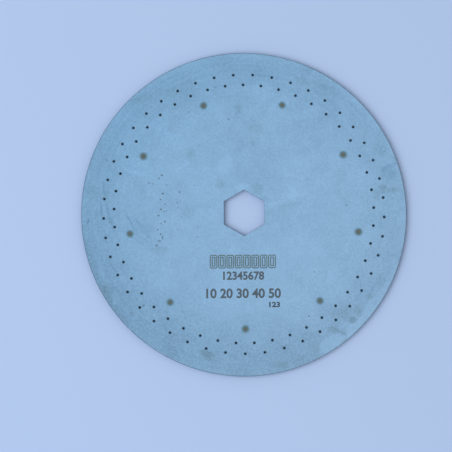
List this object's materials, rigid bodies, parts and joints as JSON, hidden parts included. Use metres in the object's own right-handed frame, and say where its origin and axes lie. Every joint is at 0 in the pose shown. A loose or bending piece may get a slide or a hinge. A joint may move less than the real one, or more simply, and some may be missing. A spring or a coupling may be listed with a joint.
{
  "type": "planter seed plate",
  "caption": "Round flat stainless seed plate for a vacuum planter, with a hexagonal drive hole, two staggered rows of small suction holes and short agitator pins welded underneath.",
  "frame": {"origin": "centre of the hexagonal drive hole, in the marked face", "axes": "+Z out of the marked face, which is the vacuum side; +Y towards the top of the marking and through two corners of the hexagon; +X through a flat of the hexagon"},
  "size_m": [0.219, 0.219, 0.004],
  "materials": {
    "steel_plate": "matt rolled stainless sheet, used, with light stains and weld heat marks",
    "weld_pins": "plain drawn stainless pin, with a weld collar at its foot"
  },
  "bodies": {
    "root": {"seed_plate": "steel_plate", "agitator_pin_1": "weld_pins", "agitator_pin_2": "weld_pins", "agitator_pin_3": "weld_pins", "agitator_pin_4": "weld_pins", "agitator_pin_5": "weld_pins", "agitator_pin_6": "weld_pins", "agitator_pin_7": "weld_pins", "agitator_pin_8": "weld_pins", "agitator_pin_9": "weld_pins"}
  },
  "joints": []
}
